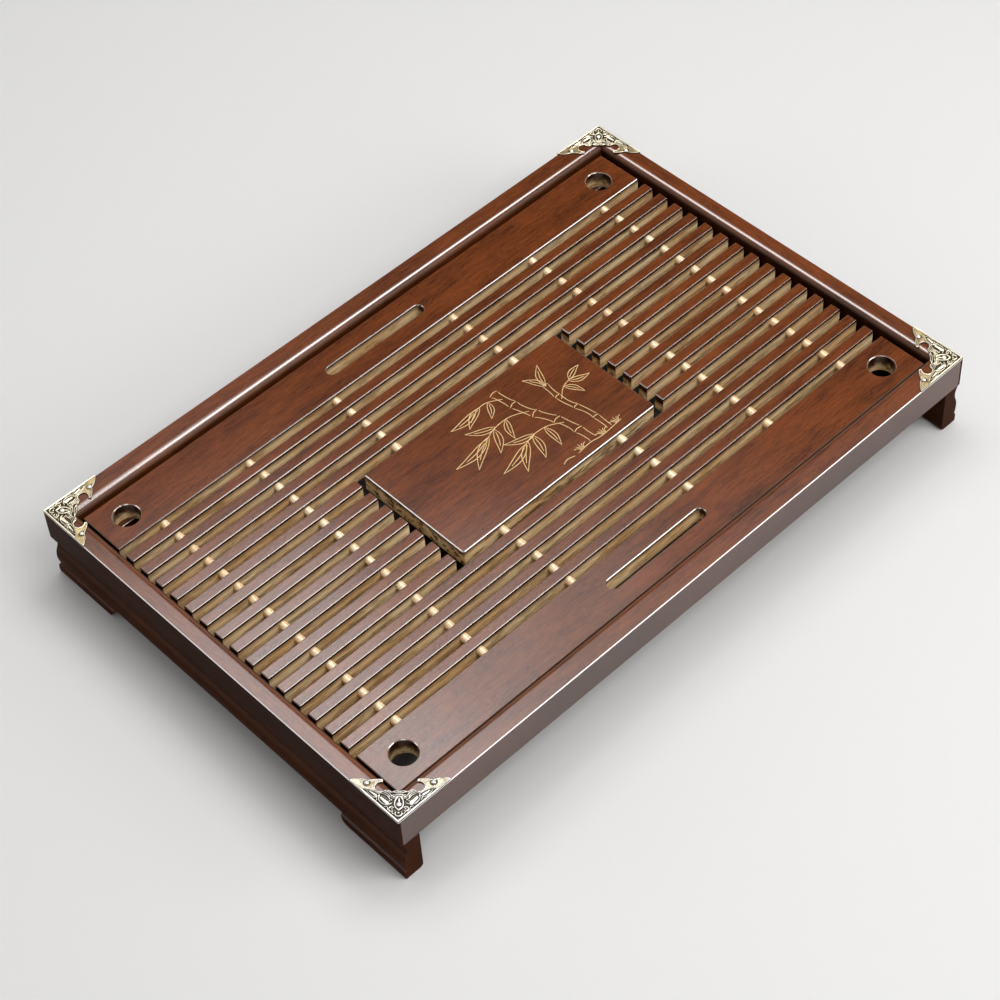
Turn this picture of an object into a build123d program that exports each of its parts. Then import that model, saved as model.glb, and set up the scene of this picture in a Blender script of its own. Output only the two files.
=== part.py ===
from build123d import *
import os

# Slatted wooden tea tray with a lift-out draining deck over a pull-out water pan.
# Millimetres, +Z up. X runs along the slats, Y across them.
# The origin is on the table, under the middle of the tray.

os.makedirs("parts", exist_ok=True)

# Overall sizes
tray_length = 450.0
tray_width = 300.0
rim_top = 54.0
overrun = 1.0

# Rim rails
rail_height = 22.5
long_rail_width = 15.0
end_rail_width = 12.5
rim_round = 4.5
rim_arris = 0.5
corner_reveal = 1.5

# Foot boards under the end rails, moulded on their outer face
base_bead_height = 6.0
bead_inset = 0.3
quirk_inset = 1.8
quirk_height = 0.5
swell_inset = 0.5
waist_inset = 2.2
cove_top_inset = 1.0
swell_share = 0.29
waist_share = 0.57
foot_length = 45.0
foot_ogee_run = 11.0
foot_arch_rise = 8.0
foot_toe_round = 2.5

# Draining deck
deck_drop = 5.0
deck_thickness = 12.0
deck_end_gap = 2.3
deck_side_gap = 1.5
deck_seat_gap = 0.2
board_width = 33.0
deck_arris = 0.5
finger_hole_diameter = 16.4
finger_hole_inset = 18.7
slot_width = 7.5
slot_plaque_share = 0.5

# Slats and the plaque that seven of them stop short of
slat_count = 15
short_slat_count = 7
slat_width = 7.0
plaque_length = 154.0
plaque_end_gap = 6.5
plaque_side_gap = 6.75
plaque_corner_round = 1.2

# Dowels that thread the slats and end in the boards
dowel_diameter = 5.3
dowel_drop = 5.0
dowel_glue_gap = 0.05
dowel_seat_depth = 12.0
dowel_end_gap = 0.3
plaque_dowel_inset = 29.5
outer_dowel_inset = 31.7
middle_dowel_share = 0.515

# Ledges that carry the deck and runners that carry the pan
long_ledge_width = 13.5
end_ledge_width = 6.0
ledge_arris = 0.5
runner_width = 8.0
runner_height = 6.0

# Water pan
pan_head_gap = 1.5
pan_end_gap = 1.0
pan_setback = 4.0
pan_runner_gap = 0.3
pan_flange_width = 8.0
pan_flange_thickness = 1.8
pan_depth = 18.0
pan_wall = 2.0
pan_draft_step = 3.0
pan_corner_radius = 14.0

# Corner brackets and their nails
bracket_leg = 37.5
bracket_plate = 0.9
nail_head_diameter = 2.8
nail_head_rise = 0.9
nail_shank_diameter = 1.2
nail_length = 6.0
nail_fit_gap = 0.05
nail_along_share = 0.79
nail_across_share = 0.135

# Bracket outline, as shares of the leg along one edge of the tray and across it
bracket_tip_shares = (1.0, 0.0)
bracket_blade_shares = (0.923, 0.107)
bracket_notch_shares = (0.813, 0.168)
bracket_horn_back_shares = (0.76, 0.248)
bracket_horn_tip_shares = (0.672, 0.331)
bracket_horn_end_shares = (0.637, 0.299)
bracket_horn_front_shares = (0.677, 0.221)
bracket_bite_start_shares = (0.651, 0.165)
bracket_bite_shares = (0.592, 0.147)
bracket_bite_end_shares = (0.523, 0.224)
bracket_lobe_shares = (0.491, 0.264)
bracket_lobe_end_shares = (0.437, 0.272)
bracket_heart_shares = (0.416, 0.317)
bracket_middle_shares = (0.36, 0.36)

# Places worked out from the sizes above
half_length = tray_length / 2
half_width = tray_width / 2
inner_half_length = half_length - end_rail_width
inner_half_width = half_width - long_rail_width
rim_bottom = rim_top - rail_height
deck_top = rim_top - deck_drop
deck_bottom = deck_top - deck_thickness
deck_half_length = inner_half_length - deck_end_gap
deck_half_width = inner_half_width - deck_side_gap
board_y = deck_half_width - board_width / 2
slat_field = 2 * (deck_half_width - board_width)
slat_gap = (slat_field - slat_count * slat_width) / (slat_count + 1)
slat_pitch = slat_width + slat_gap
plaque_bay = short_slat_count * slat_pitch + slat_gap
plaque_width = plaque_bay - 2 * plaque_side_gap
short_slat_start = plaque_length / 2 + plaque_end_gap
dowel_z = deck_top - dowel_drop
inner_dowel_x = plaque_length / 2 - plaque_dowel_inset
outer_dowel_x = deck_half_length - outer_dowel_inset
middle_dowel_x = inner_dowel_x + middle_dowel_share * (outer_dowel_x - inner_dowel_x)
dowel_hole_radius = dowel_diameter / 2 + dowel_glue_gap
ledge_height = deck_bottom - deck_seat_gap - rim_bottom
flange_top = rim_bottom - pan_head_gap
flange_bottom = flange_top - pan_flange_thickness
runner_top = flange_bottom - pan_runner_gap
pan_half_length = inner_half_length - pan_end_gap
pan_half_width = inner_half_width - pan_setback
pan_bottom = flange_top - pan_depth
plate_top = rim_top + bracket_plate
nail_along = nail_along_share * bracket_leg
nail_across = nail_across_share * bracket_leg
pilot_radius = nail_shank_diameter / 2 + nail_fit_gap


def save(piece, name):
    """Label a finished piece and write its STEP file."""
    piece.part.label = name
    export_step(piece.part, f"parts/{name}.step")


# Nails: one on each leg of each bracket, so two on every rail end
long_rail_nails = [(sx * (half_length - nail_along), -half_width + nail_across) for sx in (-1, 1)]
end_rail_nails = [(half_length - nail_across, sy * (half_width - nail_along)) for sy in (-1, 1)]

# Long rail: mitred ends that leave a thin strip of the end rail showing on the corner
with BuildPart() as long_rail_front:
    with BuildSketch(Plane.XY.offset(rim_bottom)):
        with BuildLine():
            Polyline(
                (-half_length + corner_reveal, -half_width),
                (half_length - corner_reveal, -half_width),
                (inner_half_length, -inner_half_width),
                (-inner_half_length, -inner_half_width),
                close=True,
            )
        make_face()
    extrude(amount=rail_height)
    top_edges = long_rail_front.faces().sort_by(Axis.Z)[-1].edges().filter_by(Axis.X)
    fillet(top_edges.sort_by(Axis.Y)[-1], radius=rim_round)
    top_edges = long_rail_front.faces().sort_by(Axis.Z)[-1].edges().filter_by(Axis.X)
    chamfer(top_edges.sort_by(Axis.Y)[0], length=rim_arris)
    with Locations(*[(x, y, rim_top) for x, y in long_rail_nails]):
        Hole(radius=pilot_radius, depth=nail_length)
save(long_rail_front, "long_rail_front")

with BuildPart() as long_rail_back:
    mirror(long_rail_front.part, about=Plane.XZ)
save(long_rail_back, "long_rail_back")

# End rail: runs the full width of the tray behind the mitres
with BuildPart() as end_rail_right:
    with BuildSketch(Plane.XY.offset(rim_bottom)):
        with BuildLine():
            Polyline(
                (half_length, -half_width),
                (half_length, half_width),
                (half_length - corner_reveal, half_width),
                (inner_half_length, inner_half_width),
                (inner_half_length, -inner_half_width),
                (half_length - corner_reveal, -half_width),
                close=True,
            )
        make_face()
    extrude(amount=rail_height)
    top_edges = end_rail_right.faces().sort_by(Axis.Z)[-1].edges().filter_by(Axis.Y)
    fillet(top_edges.sort_by(Axis.X)[0], radius=rim_round)
    top_edges = end_rail_right.faces().sort_by(Axis.Z)[-1].edges()
    outer_edges = top_edges.filter_by(Axis.X) + [top_edges.filter_by(Axis.Y).sort_by(Axis.X)[-1]]
    chamfer(outer_edges, length=rim_arris)
    with Locations(*[(x, y, rim_top) for x, y in end_rail_nails]):
        Hole(radius=pilot_radius, depth=nail_length)
save(end_rail_right, "end_rail_right")

with BuildPart() as end_rail_left:
    mirror(end_rail_right.part, about=Plane.YZ)
save(end_rail_left, "end_rail_left")

# Foot board: base bead, quirk, swelling and cove on the outer face, ogee arch below
quirk_z = base_bead_height + quirk_height
moulding_height = rim_bottom - quirk_z
with BuildPart() as foot_board_right:
    with BuildSketch(Plane.XZ) as foot_profile:
        with BuildLine():
            bead_top = (half_length - bead_inset, base_bead_height)
            quirk = (half_length - quirk_inset, quirk_z)
            swell = (half_length - swell_inset, quirk_z + swell_share * moulding_height)
            waist = (half_length - waist_inset, quirk_z + waist_share * moulding_height)
            cove_top = (half_length - cove_top_inset, rim_bottom)
            ThreePointArc((half_length - bead_inset, 0), (half_length, base_bead_height / 2), bead_top)
            Line(bead_top, quirk)
            swelling = ThreePointArc(quirk, swell, waist)
            TangentArc(waist, cove_top, tangent=swelling % 1)
            Polyline(
                cove_top,
                (inner_half_length, rim_bottom),
                (inner_half_length, 0),
                (half_length - bead_inset, 0),
            )
        make_face()
        floor_corners = foot_profile.vertices().group_by(Axis.Y)[0]
        fillet(floor_corners.sort_by(Axis.X)[0], radius=foot_toe_round)
    extrude(amount=half_width, both=True)
    with BuildSketch(Plane.YZ.offset(inner_half_length - overrun)):
        with BuildLine():
            toe = (-half_width + foot_length, 0)
            turn = (toe[0] + foot_ogee_run / 2, foot_arch_rise / 2)
            heel = (toe[0] + foot_ogee_run, foot_arch_rise)
            lower_curve = TangentArc(toe, turn, tangent=(1, 0))
            TangentArc(turn, heel, tangent=lower_curve % 1)
            Line(heel, (0, foot_arch_rise))
            Polyline(toe, (toe[0], -overrun), (0, -overrun))
            mirror(about=Plane.YZ)
        make_face()
    extrude(amount=end_rail_width + 2 * overrun, mode=Mode.SUBTRACT)
save(foot_board_right, "foot_board_right")

with BuildPart() as foot_board_left:
    mirror(foot_board_right.part, about=Plane.YZ)
save(foot_board_left, "foot_board_left")

# Ledges, glued round the inside of the rails, flush with their lower edge
with BuildPart() as ledge_front:
    with BuildSketch(Plane.XY.offset(rim_bottom)):
        with Locations((0, -inner_half_width + long_ledge_width / 2)):
            Rectangle(2 * inner_half_length, long_ledge_width)
    extrude(amount=ledge_height)
    top_edges = ledge_front.faces().sort_by(Axis.Z)[-1].edges().filter_by(Axis.X)
    chamfer(top_edges.sort_by(Axis.Y)[-1], length=ledge_arris)
save(ledge_front, "ledge_front")

with BuildPart() as ledge_back:
    mirror(ledge_front.part, about=Plane.XZ)
save(ledge_back, "ledge_back")

with BuildPart() as ledge_right:
    with BuildSketch(Plane.XY.offset(rim_bottom)):
        with Locations((inner_half_length - end_ledge_width / 2, 0)):
            Rectangle(end_ledge_width, 2 * (inner_half_width - long_ledge_width))
    extrude(amount=ledge_height)
    top_edges = ledge_right.faces().sort_by(Axis.Z)[-1].edges().filter_by(Axis.Y)
    chamfer(top_edges.sort_by(Axis.X)[0], length=ledge_arris)
save(ledge_right, "ledge_right")

with BuildPart() as ledge_left:
    mirror(ledge_right.part, about=Plane.YZ)
save(ledge_left, "ledge_left")

# Pan runners, on the inner faces of the foot boards
with BuildPart() as runner_right:
    with BuildSketch(Plane.XY.offset(runner_top - runner_height)):
        with Locations((inner_half_length - runner_width / 2, 0)):
            Rectangle(runner_width, 2 * pan_half_width)
    extrude(amount=runner_height)
    top_edges = runner_right.faces().sort_by(Axis.Z)[-1].edges().filter_by(Axis.Y)
    chamfer(top_edges.sort_by(Axis.X)[0], length=ledge_arris)
save(runner_right, "runner_right")

with BuildPart() as runner_left:
    mirror(runner_right.part, about=Plane.YZ)
save(runner_left, "runner_left")


def bracket_point(shares):
    """A point of the front left bracket, from its shares of the leg."""
    return (-half_length + shares[0] * bracket_leg, -half_width + shares[1] * bracket_leg)


# Corner bracket: one leg drawn from tip to middle, then mirrored across the mitre
corner = (-half_length, -half_width)
with BuildPart() as bracket_front_left:
    with BuildSketch(Plane.XY.offset(rim_top)):
        with BuildLine():
            tip = bracket_point(bracket_tip_shares)
            notch = bracket_point(bracket_notch_shares)
            horn_tip = bracket_point(bracket_horn_tip_shares)
            horn_end = bracket_point(bracket_horn_end_shares)
            bite_start = bracket_point(bracket_bite_start_shares)
            bite_end = bracket_point(bracket_bite_end_shares)
            lobe_end = bracket_point(bracket_lobe_end_shares)
            middle = bracket_point(bracket_middle_shares)
            Line(corner, tip)
            ThreePointArc(tip, bracket_point(bracket_blade_shares), notch)
            ThreePointArc(notch, bracket_point(bracket_horn_back_shares), horn_tip)
            Line(horn_tip, horn_end)
            ThreePointArc(horn_end, bracket_point(bracket_horn_front_shares), bite_start)
            ThreePointArc(bite_start, bracket_point(bracket_bite_shares), bite_end)
            ThreePointArc(bite_end, bracket_point(bracket_lobe_shares), lobe_end)
            ThreePointArc(lobe_end, bracket_point(bracket_heart_shares), middle)
            mirror(about=Plane(origin=(*corner, 0), x_dir=(0, 0, 1), z_dir=(1, -1, 0)))
        make_face()
    extrude(amount=bracket_plate)
    nail_places = [
        (-half_length + nail_along, -half_width + nail_across, plate_top),
        (-half_length + nail_across, -half_width + nail_along, plate_top),
    ]
    with Locations(*nail_places):
        Hole(radius=pilot_radius)
save(bracket_front_left, "bracket_front_left")

with BuildPart() as bracket_front_right:
    mirror(bracket_front_left.part, about=Plane.YZ)
save(bracket_front_right, "bracket_front_right")

with BuildPart() as bracket_back_left:
    mirror(bracket_front_left.part, about=Plane.XZ)
save(bracket_back_left, "bracket_back_left")

with BuildPart() as bracket_back_right:
    mirror(bracket_front_right.part, about=Plane.XZ)
save(bracket_back_right, "bracket_back_right")

# Domed bracket nails, one turned profile set at every nail place
head_radius = nail_head_diameter / 2
shank_radius = nail_shank_diameter / 2
dome_radius = (head_radius**2 + nail_head_rise**2) / (2 * nail_head_rise)
with BuildPart() as nail:
    with BuildSketch(Plane.XZ):
        with BuildLine():
            RadiusArc((0, nail_head_rise), (head_radius, 0), radius=dome_radius)
            Polyline(
                (head_radius, 0),
                (shank_radius, 0),
                (shank_radius, -nail_length + nail_shank_diameter),
                (0, -nail_length),
                (0, nail_head_rise),
            )
        make_face()
    revolve(axis=Axis.Z)

nail_spots = [(x, sy * y) for x, y in long_rail_nails for sy in (-1, 1)]
nail_spots += [(sx * x, y) for x, y in end_rail_nails for sx in (-1, 1)]
with BuildPart() as bracket_nails:
    with Locations(*[(x, y, plate_top) for x, y in nail_spots]):
        add(nail.part)
save(bracket_nails, "bracket_nails")

# Dowel rows, the same on both sides of the middle
dowel_rows = [side * x for side in (-1, 1) for x in (inner_dowel_x, middle_dowel_x, outer_dowel_x)]

# Deck board: wide outer board with a finger hole near each end and a round-ended slot
with BuildPart() as deck_board_front:
    with BuildSketch(Plane.XY.offset(deck_bottom)):
        with Locations((0, -board_y)):
            Rectangle(2 * deck_half_length, board_width)
            SlotOverall(slot_plaque_share * plaque_length, slot_width, mode=Mode.SUBTRACT)
            with GridLocations(2 * (deck_half_length - finger_hole_inset), 0, 2, 1):
                Circle(finger_hole_diameter / 2, mode=Mode.SUBTRACT)
    extrude(amount=deck_thickness)
    chamfer(deck_board_front.faces().sort_by(Axis.Z)[-1].edges(), length=deck_arris)
    with BuildSketch(Plane.XZ.offset(slat_field / 2 - overrun)):
        with Locations(*[(x, dowel_z) for x in dowel_rows]):
            Circle(dowel_hole_radius)
    extrude(amount=overrun + dowel_seat_depth, mode=Mode.SUBTRACT)
save(deck_board_front, "deck_board_front")

with BuildPart() as deck_board_back:
    mirror(deck_board_front.part, about=Plane.XZ)
save(deck_board_back, "deck_board_back")

# Slats, numbered from the front; the middle ones are split in two by the plaque
first_short_slat = (slat_count - short_slat_count) // 2
for index in range(slat_count):
    slat_y = (index - (slat_count - 1) / 2) * slat_pitch
    is_short = first_short_slat <= index < first_short_slat + short_slat_count
    if is_short:
        spans = {
            "_left": (-deck_half_length, -short_slat_start),
            "_right": (short_slat_start, deck_half_length),
        }
    else:
        spans = {"": (-deck_half_length, deck_half_length)}
    for side_name, (start, end) in spans.items():
        with BuildPart() as slat:
            with BuildSketch(Plane.XY.offset(deck_bottom)):
                with Locations(((start + end) / 2, slat_y)):
                    Rectangle(end - start, slat_width)
            extrude(amount=deck_thickness)
            chamfer(slat.faces().sort_by(Axis.Z)[-1].edges(), length=deck_arris)
            with BuildSketch(Plane.XZ.offset(-(slat_y + slat_width / 2 + overrun))):
                with Locations(*[(x, dowel_z) for x in dowel_rows if start < x < end]):
                    Circle(dowel_hole_radius)
            extrude(amount=slat_width + 2 * overrun, mode=Mode.SUBTRACT)
        save(slat, f"slat_{index + 1:02d}{side_name}")

# Plaque: a solid board in the middle of the grille, threaded on the two inner dowels
with BuildPart() as plaque:
    with BuildSketch(Plane.XY.offset(deck_bottom)):
        RectangleRounded(plaque_length, plaque_width, plaque_corner_round)
    extrude(amount=deck_thickness)
    chamfer(plaque.faces().sort_by(Axis.Z)[-1].edges(), length=deck_arris)
    with BuildSketch(Plane.XZ.offset(-(plaque_width / 2 + overrun))):
        with Locations((-inner_dowel_x, dowel_z), (inner_dowel_x, dowel_z)):
            Circle(dowel_hole_radius)
    extrude(amount=plaque_width + 2 * overrun, mode=Mode.SUBTRACT)
save(plaque, "plaque")

# Dowels, from blind holes in one board to blind holes in the other
dowel_half_length = slat_field / 2 + dowel_seat_depth - dowel_end_gap
for number, dowel_x in enumerate(sorted(dowel_rows), start=1):
    with BuildPart() as dowel:
        with BuildSketch(Plane.XZ):
            with Locations((dowel_x, dowel_z)):
                Circle(dowel_diameter / 2)
        extrude(amount=dowel_half_length, both=True)
    save(dowel, f"dowel_{number}")

# Water pan: drafted tub with a flat flange that hangs on the runners
mouth_length = 2 * (pan_half_length - pan_flange_width)
mouth_width = 2 * (pan_half_width - pan_flange_width)
floor_radius = pan_corner_radius - pan_draft_step
with BuildPart() as water_pan:
    with BuildSketch(Plane.XY.offset(pan_bottom)):
        RectangleRounded(mouth_length - 2 * pan_draft_step, mouth_width - 2 * pan_draft_step, floor_radius)
    with BuildSketch(Plane.XY.offset(flange_top)):
        RectangleRounded(mouth_length, mouth_width, pan_corner_radius)
    loft()
    with BuildSketch(Plane.XY.offset(flange_bottom)):
        RectangleRounded(2 * pan_half_length, 2 * pan_half_width, pan_corner_radius)
    extrude(amount=pan_flange_thickness)
    with BuildSketch(Plane.XY.offset(pan_bottom + pan_wall)):
        RectangleRounded(
            mouth_length - 2 * pan_draft_step - 2 * pan_wall,
            mouth_width - 2 * pan_draft_step - 2 * pan_wall,
            floor_radius - pan_wall,
        )
    with BuildSketch(Plane.XY.offset(flange_top)):
        RectangleRounded(mouth_length - 2 * pan_wall, mouth_width - 2 * pan_wall, pan_corner_radius - pan_wall)
    loft(mode=Mode.SUBTRACT)
save(water_pan, "water_pan")
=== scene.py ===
"""Looks of the slatted tea tray: its finishes, relief brackets, line work and studio.

Lengths are in metres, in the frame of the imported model: +X along the slats, +Y to the back and +Z up,
with the origin on the table under the middle of the tray. Names that end in _mm are in millimetres, and
those that end in _px are in pixels of the photograph. Angles among the fields are in degrees.
"""
import logging
import math
from collections.abc import Iterator
from dataclasses import dataclass, field
from enum import Enum

import bmesh
import bpy
import numpy as np
from mathutils import Matrix, Vector
from mathutils.geometry import delaunay_2d_cdt


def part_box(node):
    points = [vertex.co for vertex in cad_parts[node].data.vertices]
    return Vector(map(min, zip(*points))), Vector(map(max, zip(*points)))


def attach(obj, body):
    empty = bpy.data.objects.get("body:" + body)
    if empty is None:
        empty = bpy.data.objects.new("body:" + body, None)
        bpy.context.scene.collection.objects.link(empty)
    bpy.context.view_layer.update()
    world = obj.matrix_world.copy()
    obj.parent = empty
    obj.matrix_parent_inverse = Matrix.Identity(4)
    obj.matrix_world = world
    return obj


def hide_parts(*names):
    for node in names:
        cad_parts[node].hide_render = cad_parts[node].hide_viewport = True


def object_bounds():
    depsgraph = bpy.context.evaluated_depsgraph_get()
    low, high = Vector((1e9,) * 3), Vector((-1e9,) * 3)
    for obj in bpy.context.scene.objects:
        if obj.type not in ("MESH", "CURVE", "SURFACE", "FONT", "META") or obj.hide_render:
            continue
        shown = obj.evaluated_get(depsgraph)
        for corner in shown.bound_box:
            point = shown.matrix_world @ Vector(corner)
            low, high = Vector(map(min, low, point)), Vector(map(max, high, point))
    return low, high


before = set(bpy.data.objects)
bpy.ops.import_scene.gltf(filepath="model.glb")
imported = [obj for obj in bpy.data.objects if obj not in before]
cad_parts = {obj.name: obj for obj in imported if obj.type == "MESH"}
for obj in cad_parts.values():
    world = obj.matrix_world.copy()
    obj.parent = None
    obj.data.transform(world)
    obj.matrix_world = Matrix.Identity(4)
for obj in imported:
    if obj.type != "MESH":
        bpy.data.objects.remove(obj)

CAD_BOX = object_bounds()
MM = 0.001
TINY = 1e-12
FLOAT = "NodeSocketFloat"
VECTOR = "NodeSocketVector"
log = logging.getLogger("tea_tray")

Colour = tuple[float, float, float]
Triple = tuple[float, float, float]
Point = tuple[float, float]
Range = tuple[float, float]


class Grain(Enum):
    """Which way the fibres of a wooden piece run."""

    ALONG_X = 0.0
    ALONG_Y = math.pi / 2


class Side(Enum):
    """A corner of the tray, as the signs of its X and Y."""

    FRONT_LEFT = (-1, -1)
    FRONT_RIGHT = (1, -1)
    BACK_LEFT = (-1, 1)
    BACK_RIGHT = (1, 1)


@dataclass(frozen=True)
class Texture:
    """Smooth noise: features per millimetre along each axis, octaves, roughness, and what becomes 0 and 1."""

    stretch: Triple
    detail: float = 2.0
    rough: float = 0.6
    low: float = 0.0
    high: float = 1.0


FIBRE = Texture((0.075, 0.78, 0.78), 4.0, 0.78, 0.31, 0.69)
PORES = Texture((0.28, 1.9, 1.9), 2.0, 0.55, 0.54, 0.66)
SHEEN = Texture((0.34, 2.0, 2.0), low=0.28, high=0.72)
FIGURE = Texture((0.010, 0.11, 0.11), 3.0, 0.55, 0.3, 0.7)
BLOTCH = Texture((0.022, 0.04, 0.04), 2.0, 0.5, 0.3, 0.7)
MOTTLE = Texture((0.25, 0.6, 0.6))
RAGGED = Texture((0.13, 0.3, 0.12), 4.0, 0.62)
RUNS = Texture((0.06, 0.22, 0.30), 4.0, 0.66, 0.47, 0.63)
SMUDGE = Texture((0.03, 0.05, 0.05), 3.0)
NIBS = Texture((0.9, 0.9, 0.9), low=0.66, high=0.8)
PITS = Texture((3.2, 3.2, 3.2), 3.0, 0.7, 0.35, 0.7)
CLOUD = Texture((0.30, 0.30, 0.30), 4.0, 0.7, 0.35, 0.7)
SPARK = Texture((2.4, 2.4, 2.4))
SCUFF = Texture((0.05, 0.4, 0.4), 4.0, 0.7, 0.5, 0.75)
FLAKES = Texture((1.6, 1.6, 1.6), 3.0, 0.7, 0.3, 0.7)


class Signal:
    """What one output of a shader node carries. Arithmetic on it adds Math nodes."""

    def __init__(self, graph: "Graph", socket: bpy.types.NodeSocket) -> None:
        """Keep the graph and the output."""
        self.graph = graph
        self.socket = socket

    def __add__(self, other: object) -> "Signal":
        """Add a number."""
        return self.graph.math("ADD", self, other)

    def __sub__(self, other: object) -> "Signal":
        """Take a number away."""
        return self.graph.math("SUBTRACT", self, other)

    def __rsub__(self, other: object) -> "Signal":
        """Take this away from a number."""
        return self.graph.math("SUBTRACT", other, self)

    def __mul__(self, other: object) -> "Signal":
        """Multiply by a number."""
        return self.graph.math("MULTIPLY", self, other)

    def __truediv__(self, other: object) -> "Signal":
        """Divide by a number."""
        return self.graph.math("DIVIDE", self, other)

    def __abs__(self) -> "Signal":
        """Drop the sign."""
        return self.graph.math("ABSOLUTE", self)

    def clamped(self) -> "Signal":
        """Keep the last sum or product from 0 to 1."""
        self.socket.node.use_clamp = True
        return self

    __radd__ = __add__


class Graph:
    """Adds nodes to one shader tree and links them."""

    def __init__(self, tree: bpy.types.NodeTree) -> None:
        """Keep the tree."""
        self.tree = tree

    def add(self, kind: str, **settings: object) -> bpy.types.Node:
        """Add one node.

        Args:
            kind: Blender's name of the node type.
            **settings: Attributes to set on the node.

        Returns:
            The new node.
        """
        node = self.tree.nodes.new(kind)
        for name, value in settings.items():
            setattr(node, name, value)
        return node

    def feed(self, socket: bpy.types.NodeSocket, value: object) -> None:
        """Link an input, or set it to a constant.

        Args:
            socket: The input to feed.
            value: A signal, or a number, a vector or a colour of three numbers.
        """
        if isinstance(value, Signal):
            self.tree.links.new(value.socket, socket)
        else:
            socket.default_value = (*value, 1.0) if socket.type == "RGBA" else value

    def out(self, node: bpy.types.Node, name: str) -> Signal:
        """Take one output of a node."""
        return Signal(self, node.outputs[name])

    def math(self, operation: str, *values: object) -> Signal:
        """Combine numbers with one Math node.

        Args:
            operation: Blender's name of the operation.
            *values: Signals or numbers, in order.

        Returns:
            The result.
        """
        node = self.add("ShaderNodeMath", operation=operation)
        for socket, value in zip(node.inputs, values):
            self.feed(socket, value)
        return self.out(node, "Value")

    def vector(self, operation: str, *values: object, scale: object = None) -> Signal:
        """Combine vectors with one Vector Math node.

        Args:
            operation: Blender's name of the operation.
            *values: Signals or triples, in order.
            scale: The factor, where the operation is SCALE.

        Returns:
            The result, a number for DOT_PRODUCT and LENGTH.
        """
        node = self.add("ShaderNodeVectorMath", operation=operation)
        for socket, value in zip(node.inputs, values):
            self.feed(socket, value)
        if scale is not None:
            self.feed(node.inputs["Scale"], scale)
        return self.out(node, "Value" if operation in ("DOT_PRODUCT", "LENGTH") else "Vector")

    def split(self, vector: Signal) -> list[Signal]:
        """Split a vector into its parts.

        Args:
            vector: The vector.

        Returns:
            Its X, Y and Z.
        """
        node = self.add("ShaderNodeSeparateXYZ")
        self.feed(node.inputs["Vector"], vector)
        return [self.out(node, axis) for axis in "XYZ"]

    def spot(self) -> Signal:
        """Give the place on the tray, in metres."""
        return self.out(self.add("ShaderNodeTexCoord"), "Object")

    def normal(self, name: str = "Normal") -> Signal:
        """Give the direction that the surface faces, smoothed or True Normal."""
        return self.out(self.add("ShaderNodeNewGeometry"), name)

    def step(self, value: Signal, low: object, high: object) -> Signal:
        """Rise smoothly from 0 to 1 as a value goes from low to high.

        Args:
            value: The number to map.
            low: Where the result leaves 0.
            high: Where the result reaches 1.

        Returns:
            The result.
        """
        node = self.add("ShaderNodeMapRange", interpolation_type="SMOOTHSTEP")
        self.feed(node.inputs["Value"], value)
        self.feed(node.inputs["From Min"], low)
        self.feed(node.inputs["From Max"], high)
        return self.out(node, "Result")

    def sample(self, place: Signal, texture: Texture) -> Signal:
        """Sample smooth noise.

        Args:
            place: A vector in millimetres.
            texture: The kind of noise.

        Returns:
            A value from 0 to 1, mostly near a half.
        """
        node = self.add("ShaderNodeTexNoise")
        self.feed(node.inputs["Vector"], self.vector("MULTIPLY", place, texture.stretch))
        node.inputs["Scale"].default_value = 1.0
        node.inputs["Detail"].default_value = texture.detail
        node.inputs["Roughness"].default_value = texture.rough
        return self.out(node, "Fac")

    def contrast(self, place: Signal, texture: Texture) -> Signal:
        """Sample noise and spread it between its low and high value."""
        return self.step(self.sample(place, texture), texture.low, texture.high)

    def mix(self, factor: Signal, first: object, second: object) -> Signal:
        """Mix two colours.

        Args:
            factor: How much of the second colour there is, from 0 to 1.
            first: The colour at 0.
            second: The colour at 1.

        Returns:
            The mixed colour.
        """
        node = self.add("ShaderNodeMix", data_type="RGBA")
        self.feed(node.inputs["Factor"], factor)
        self.feed(node.inputs["A"], first)
        self.feed(node.inputs["B"], second)
        return self.out(node, "Result")

    def group(self, tree: bpy.types.NodeTree, **values: object) -> dict[str, Signal]:
        """Place a node group.

        Args:
            tree: The group.
            **values: Its inputs by name, with _ for a space.

        Returns:
            The group's outputs by name.
        """
        node = self.add("ShaderNodeGroup", node_tree=tree)
        for name, value in values.items():
            self.feed(node.inputs[name.replace("_", " ")], value)
        return {socket.name: Signal(self, socket) for socket in node.outputs}

    def mask(self, tree: bpy.types.NodeTree, **values: object) -> Signal:
        """Place a node group and take its mask."""
        return self.group(tree, **values)["Mask"]


class Group(Graph):
    """A shader node group that is being built."""

    def __init__(self, name: str, inputs: dict[str, float | None], outputs: str, kind: str = FLOAT) -> None:
        """Make the group with its sockets.

        Args:
            name: The group's name.
            inputs: The default of each number that goes in, or None for a vector.
            outputs: The names of what comes out, with spaces between them.
            kind: The socket type of what comes out.
        """
        super().__init__(bpy.data.node_groups.new(name, "ShaderNodeTree"))
        sockets = self.tree.interface
        for label, value in inputs.items():
            socket_type = VECTOR if value is None else FLOAT
            socket = sockets.new_socket(label, in_out="INPUT", socket_type=socket_type)
            if value is not None:
                socket.default_value = value
        for label in outputs.split():
            sockets.new_socket(label, in_out="OUTPUT", socket_type=kind)
        source = self.add("NodeGroupInput")
        self.given = {label: self.out(source, label) for label in inputs}
        self.sink = self.add("NodeGroupOutput").inputs

    def give(self, **results: Signal) -> bpy.types.NodeTree:
        """Feed the outputs of the group.

        Args:
            **results: What comes out, by name.

        Returns:
            The finished group.
        """
        for label, value in results.items():
            self.feed(self.sink[label], value)
        return self.tree


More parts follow.
